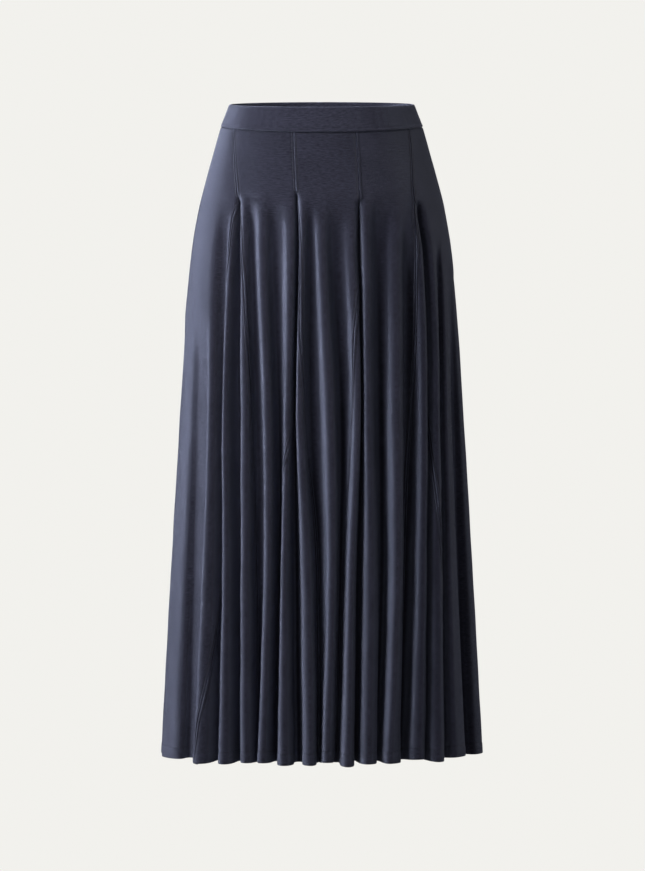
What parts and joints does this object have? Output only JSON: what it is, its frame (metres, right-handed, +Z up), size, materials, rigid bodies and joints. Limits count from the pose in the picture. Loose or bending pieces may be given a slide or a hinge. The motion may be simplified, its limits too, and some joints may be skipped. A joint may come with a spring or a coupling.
{
  "type": "godet maxi skirt",
  "caption": "Long knit skirt with a wide plain waistband and godets let into its panel seams, hanging in deep flutes, hollow as worn.",
  "frame": {"origin": "middle of the waistband's height, in the centre of the waist", "axes": "+Z up, -Y out of the front, +X to the wearer's left"},
  "size_m": [0.4468, 0.3025, 0.9085],
  "materials": {
    "knit_panel": "matt",
    "knit_godet": "matt",
    "knit_band": "matt",
    "seam_thread": "satin"
  },
  "bodies": {
    "root": {"waistband_front": "knit_band", "waistband_back": "knit_band", "gore_front_centre": "knit_panel", "gore_front_right": "knit_panel", "gore_front_left": "knit_panel", "gore_side_front_right": "knit_panel", "gore_side_front_left": "knit_panel", "gore_back_centre": "knit_panel", "gore_back_right": "knit_panel", "gore_back_left": "knit_panel", "gore_side_back_right": "knit_panel", "gore_side_back_left": "knit_panel", "godet_front_right_outer": "knit_godet", "godet_front_right_inner": "knit_godet", "godet_front_left_inner": "knit_godet", "godet_front_left_outer": "knit_godet", "godet_back_right_outer": "knit_godet", "godet_back_right_inner": "knit_godet", "godet_back_left_inner": "knit_godet", "godet_back_left_outer": "knit_godet"}
  },
  "joints": []
}
